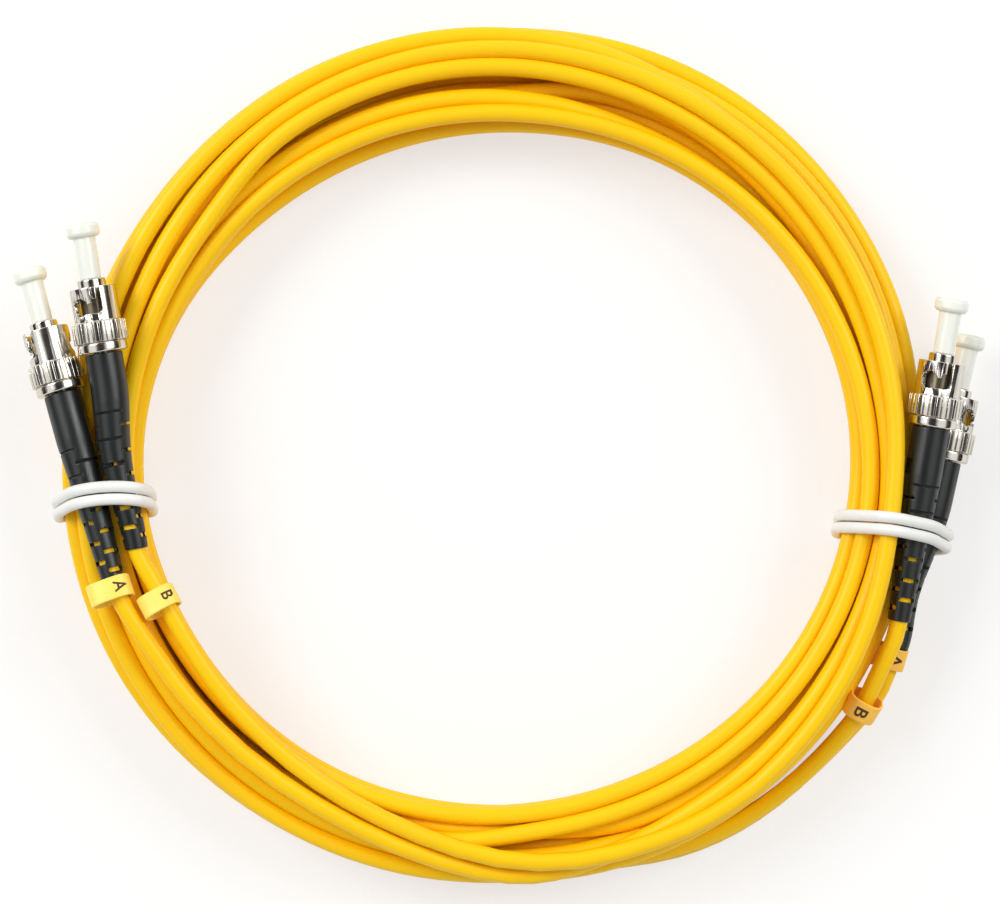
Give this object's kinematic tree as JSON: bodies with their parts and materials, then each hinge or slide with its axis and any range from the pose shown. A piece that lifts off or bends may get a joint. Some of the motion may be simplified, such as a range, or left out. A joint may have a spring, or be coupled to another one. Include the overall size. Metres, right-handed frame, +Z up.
{
  "type": "fibre patch cord",
  "caption": "Coiled duplex fibre patch cord with bayonet connectors, capped ferrules, slotted strain-relief boots, marker rings and wire ties.",
  "frame": {"origin": "under the middle of the coil and its connectors, on the table", "axes": "+Z up from the table, +Y the way the connectors point, +X towards the right pair of connectors"},
  "size_m": [0.1634, 0.1445, 0.0244],
  "materials": {
    "jacket": "satin yellow jacket",
    "boot": "satin black moulding",
    "nickel": "bright nickel plate",
    "steel": "plain",
    "ceramic": "polished white ceramic",
    "cap": "milky translucent",
    "marker": "pale yellow moulding",
    "tie": "white coated wire"
  },
  "bodies": {
    "cord": {"coil": "jacket", "cable_a": "jacket", "cable_b": "jacket", "left_tie": "tie", "right_tie": "tie", "left_a_connector_body": "nickel", "left_a_ferrule": "ceramic", "left_a_crimp_sleeve": "steel", "left_a_boot": "boot", "left_a_marker_ring": "marker", "left_b_connector_body": "nickel", "left_b_ferrule": "ceramic", "left_b_crimp_sleeve": "steel", "left_b_boot": "boot", "left_b_marker_ring": "marker", "right_a_connector_body": "nickel", "right_a_ferrule": "ceramic", "right_a_crimp_sleeve": "steel", "right_a_boot": "boot", "right_a_marker_ring": "marker", "right_b_connector_body": "nickel", "right_b_ferrule": "ceramic", "right_b_crimp_sleeve": "steel", "right_b_boot": "boot", "right_b_marker_ring": "marker"},
    "left_a_washer": {"left_a_thrust_washer": "steel", "left_a_spring": "steel"},
    "left_a_nut": {"left_a_coupling_nut": "nickel"},
    "left_a_cap": {"left_a_dust_cap": "cap"},
    "left_b_washer": {"left_b_thrust_washer": "steel", "left_b_spring": "steel"},
    "left_b_nut": {"left_b_coupling_nut": "nickel"},
    "left_b_cap": {"left_b_dust_cap": "cap"},
    "right_a_washer": {"right_a_thrust_washer": "steel", "right_a_spring": "steel"},
    "right_a_nut": {"right_a_coupling_nut": "nickel"},
    "right_a_cap": {"right_a_dust_cap": "cap"},
    "right_b_washer": {"right_b_thrust_washer": "steel", "right_b_spring": "steel"},
    "right_b_nut": {"right_b_coupling_nut": "nickel"},
    "right_b_cap": {"right_b_dust_cap": "cap"}
  },
  "joints": [
    {"name": "left_a_nut_slide", "type": "slide", "parent": "cord", "child": "left_a_washer", "axis": [-0.2717, 0.9601, -0.0668], "range_m": [0, 0.0016], "stiffness_N_per_m": 1500, "springref_m": -0.002, "deforming": ["left_a_spring"]},
    {"name": "left_a_nut_turn", "type": "hinge", "parent": "left_a_washer", "child": "left_a_nut", "pos_m": [-0.07283, 0.00986, 0.01697], "axis": [-0.2717, 0.9601, -0.0668], "continuous": true},
    {"name": "left_a_cap_slide", "type": "slide", "parent": "cord", "child": "left_a_cap", "axis": [-0.2717, 0.9601, -0.0668], "range_m": [0, 0.01]},
    {"name": "left_b_nut_slide", "type": "slide", "parent": "cord", "child": "left_b_washer", "axis": [-0.165, 0.9861, 0.0172], "range_m": [0, 0.0016], "stiffness_N_per_m": 1500, "springref_m": -0.002, "deforming": ["left_b_spring"]},
    {"name": "left_b_nut_turn", "type": "hinge", "parent": "left_b_washer", "child": "left_b_nut", "pos_m": [-0.0656, 0.0165, 0.01973], "axis": [-0.165, 0.9861, 0.0172], "continuous": true},
    {"name": "left_b_cap_slide", "type": "slide", "parent": "cord", "child": "left_b_cap", "axis": [-0.165, 0.9861, 0.0172], "range_m": [0, 0.01]},
    {"name": "right_a_nut_slide", "type": "slide", "parent": "cord", "child": "right_a_washer", "axis": [0.2147, 0.9766, -0.0152], "range_m": [0, 0.0016], "stiffness_N_per_m": 1500, "springref_m": -0.002, "deforming": ["right_a_spring"]},
    {"name": "right_a_nut_turn", "type": "hinge", "parent": "right_a_washer", "child": "right_a_nut", "pos_m": [0.07494, -0.00125, 0.00835], "axis": [0.2147, 0.9766, -0.0152], "continuous": true},
    {"name": "right_a_cap_slide", "type": "slide", "parent": "cord", "child": "right_a_cap", "axis": [0.2147, 0.9766, -0.0152], "range_m": [0, 0.01]},
    {"name": "right_b_nut_slide", "type": "slide", "parent": "cord", "child": "right_b_washer", "axis": [0.1579, 0.9861, 0.0516], "range_m": [0, 0.0016], "stiffness_N_per_m": 1500, "springref_m": -0.002, "deforming": ["right_b_spring"]},
    {"name": "right_b_nut_turn", "type": "hinge", "parent": "right_b_washer", "child": "right_b_nut", "pos_m": [0.07185, 0.0043, 0.01632], "axis": [0.1579, 0.9861, 0.0516], "continuous": true},
    {"name": "right_b_cap_slide", "type": "slide", "parent": "cord", "child": "right_b_cap", "axis": [0.1579, 0.9861, 0.0516], "range_m": [0, 0.01]}
  ]
}
